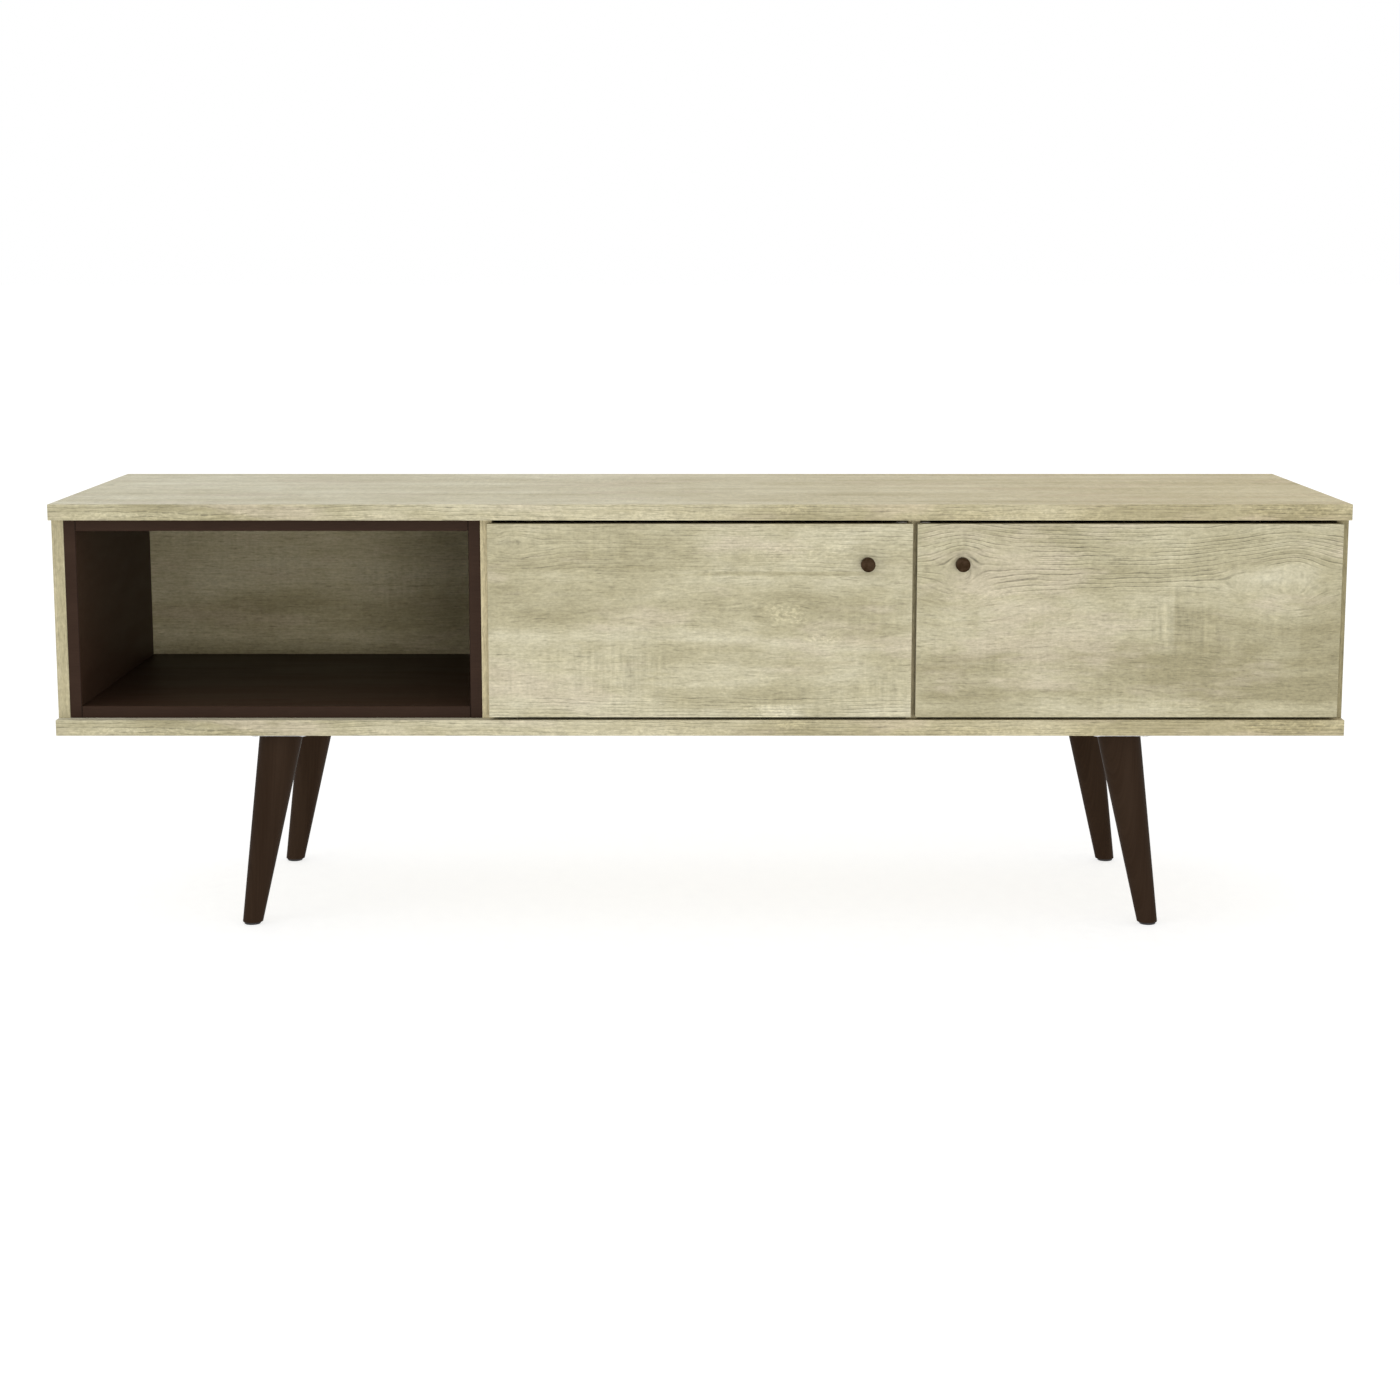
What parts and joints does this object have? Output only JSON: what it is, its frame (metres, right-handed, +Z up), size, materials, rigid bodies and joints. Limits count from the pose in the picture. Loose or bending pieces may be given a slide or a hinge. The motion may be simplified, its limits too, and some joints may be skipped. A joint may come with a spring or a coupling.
{
  "type": "television console cabinet",
  "caption": "Low television console in wood-print board: an open lined bay beside hinged cupboard doors with round knobs, on splayed tapered legs.",
  "frame": {"origin": "on the floor under the centre of the whole object's bounding box, knobs included", "axes": "+Z up, the doors and the open bay face -Y, +X to the right of someone facing the front; the open bay is on the -X side"},
  "size_m": [1.3, 0.394, 0.439],
  "materials": {
    "oak_laminate": "matt weathered-oak print on particle board, fine grain emboss",
    "door_laminate": "matt weathered-oak print with cathedral grain, fine grain emboss",
    "printed_hardboard": "matt oak print on thin hardboard",
    "dark_laminate": "satin espresso-brown foil",
    "dark_stained_wood": "satin espresso stain on turned wood",
    "zinc_plated_steel": "bright zinc plate",
    "nickel_plated_steel": "nickel plate",
    "magnet": "dull grey magnet and pole plates",
    "white_catch_plastic": "moulded off-white plastic",
    "black_glide_plastic": "moulded black nylon",
    "clear_rubber": "soft milky bumper"
  },
  "bodies": {
    "cabinet": {"top_slab": "oak_laminate", "bottom_slab": "oak_laminate", "side_panel_left": "oak_laminate", "side_panel_right": "oak_laminate", "divider_left": "oak_laminate", "divider_middle": "oak_laminate", "back_panel": "printed_hardboard", "liner_left": "dark_laminate", "liner_right": "dark_laminate", "liner_top": "dark_laminate", "liner_bottom": "dark_laminate", "leg_front_left": "dark_stained_wood", "leg_rear_left": "dark_stained_wood", "leg_front_right": "dark_stained_wood", "leg_rear_right": "dark_stained_wood", "leg_plate_front_left": "zinc_plated_steel", "leg_plate_rear_left": "zinc_plated_steel", "leg_plate_front_right": "zinc_plated_steel", "leg_plate_rear_right": "zinc_plated_steel", "leg_bolt_front_left": "zinc_plated_steel", "leg_bolt_rear_left": "zinc_plated_steel", "leg_bolt_front_right": "zinc_plated_steel", "leg_bolt_rear_right": "zinc_plated_steel", "foot_glide_front_left": "black_glide_plastic", "foot_glide_rear_left": "black_glide_plastic", "foot_glide_front_right": "black_glide_plastic", "foot_glide_rear_right": "black_glide_plastic", "hinge_plate_left_upper": "nickel_plated_steel", "hinge_arm_left_upper": "nickel_plated_steel", "hinge_pin_left_upper": "nickel_plated_steel", "hinge_plate_left_lower": "nickel_plated_steel", "hinge_arm_left_lower": "nickel_plated_steel", "hinge_pin_left_lower": "nickel_plated_steel", "hinge_plate_right_upper": "nickel_plated_steel", "hinge_arm_right_upper": "nickel_plated_steel", "hinge_pin_right_upper": "nickel_plated_steel", "hinge_plate_right_lower": "nickel_plated_steel", "hinge_arm_right_lower": "nickel_plated_steel", "hinge_pin_right_lower": "nickel_plated_steel", "catch_left": "white_catch_plastic", "catch_right": "white_catch_plastic", "catch_magnet_left": "magnet", "catch_magnet_right": "magnet"},
    "left_door": {"door_left": "door_laminate", "knob_left": "dark_stained_wood", "knob_screw_left": "nickel_plated_steel", "strike_left": "nickel_plated_steel", "hinge_cup_left_upper": "nickel_plated_steel", "door_bumper_left_upper": "clear_rubber", "hinge_cup_left_lower": "nickel_plated_steel", "door_bumper_left_lower": "clear_rubber"},
    "right_door": {"door_right": "door_laminate", "knob_right": "dark_stained_wood", "knob_screw_right": "nickel_plated_steel", "strike_right": "nickel_plated_steel", "hinge_cup_right_upper": "nickel_plated_steel", "door_bumper_right_upper": "clear_rubber", "hinge_cup_right_lower": "nickel_plated_steel", "door_bumper_right_lower": "clear_rubber"}
  },
  "joints": [
    {"name": "left_door_hinge", "type": "hinge", "parent": "cabinet", "child": "left_door", "pos_m": [-0.207, -0.178, 0.32175], "axis": [0, 0, -1], "range_deg": [0, 95]},
    {"name": "right_door_hinge", "type": "hinge", "parent": "cabinet", "child": "right_door", "pos_m": [0.6365, -0.178, 0.32175], "axis": [0, 0, 1], "range_deg": [0, 95]}
  ]
}
